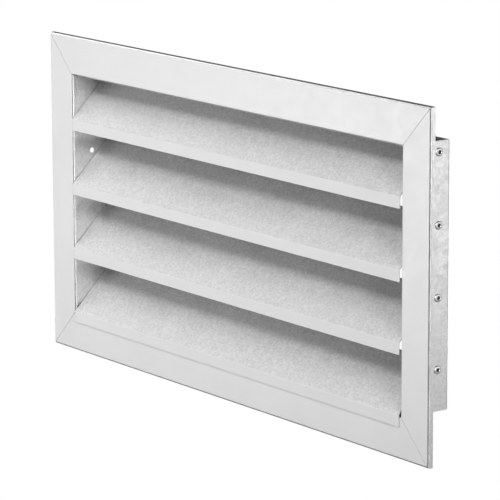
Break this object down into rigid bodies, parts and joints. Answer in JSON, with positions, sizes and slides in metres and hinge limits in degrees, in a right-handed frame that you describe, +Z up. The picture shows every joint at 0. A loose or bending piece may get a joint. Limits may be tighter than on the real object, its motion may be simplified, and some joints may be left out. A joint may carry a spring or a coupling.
{
  "type": "external weather louvre grille",
  "caption": "Rectangular wall ventilation grille with a mitred folded frame, fixed sloping blades with front lips, a short collar and a rear wire guard.",
  "frame": {"origin": "centre of the opening in the plane of the frame's return edge, which seats on the wall", "axes": "+X right seen from outside, +Y into the wall, +Z up"},
  "size_m": [0.46, 0.0466, 0.245],
  "materials": {
    "frame_sheet": "smooth galvanised steel sheet",
    "blade_sheet": "fine spangled galvanised steel sheet",
    "bracket_sheet": "galvanised steel sheet",
    "clip_sheet": "galvanised steel strip",
    "guard_wire": "galvanised wire",
    "rivet": "plain aluminium"
  },
  "bodies": {
    "root": {"bird_guard": "guard_wire", "blade_1": "blade_sheet", "blade_2": "blade_sheet", "blade_3": "blade_sheet", "blade_4": "blade_sheet", "blade_rivets_left": "rivet", "blade_rivets_right": "rivet", "corner_angle_bottom_left": "bracket_sheet", "corner_angle_bottom_right": "bracket_sheet", "corner_angle_top_left": "bracket_sheet", "corner_angle_top_right": "bracket_sheet", "corner_plate_bottom_left": "bracket_sheet", "corner_plate_bottom_right": "bracket_sheet", "corner_plate_top_left": "bracket_sheet", "corner_plate_top_right": "bracket_sheet", "frame_bottom": "frame_sheet", "frame_left": "frame_sheet", "frame_right": "frame_sheet", "frame_top": "frame_sheet", "guard_clip_bottom_left": "clip_sheet", "guard_clip_bottom_middle": "clip_sheet", "guard_clip_bottom_right": "clip_sheet", "guard_clip_top_left": "clip_sheet", "guard_clip_top_middle": "clip_sheet", "guard_clip_top_right": "clip_sheet"}
  },
  "joints": []
}
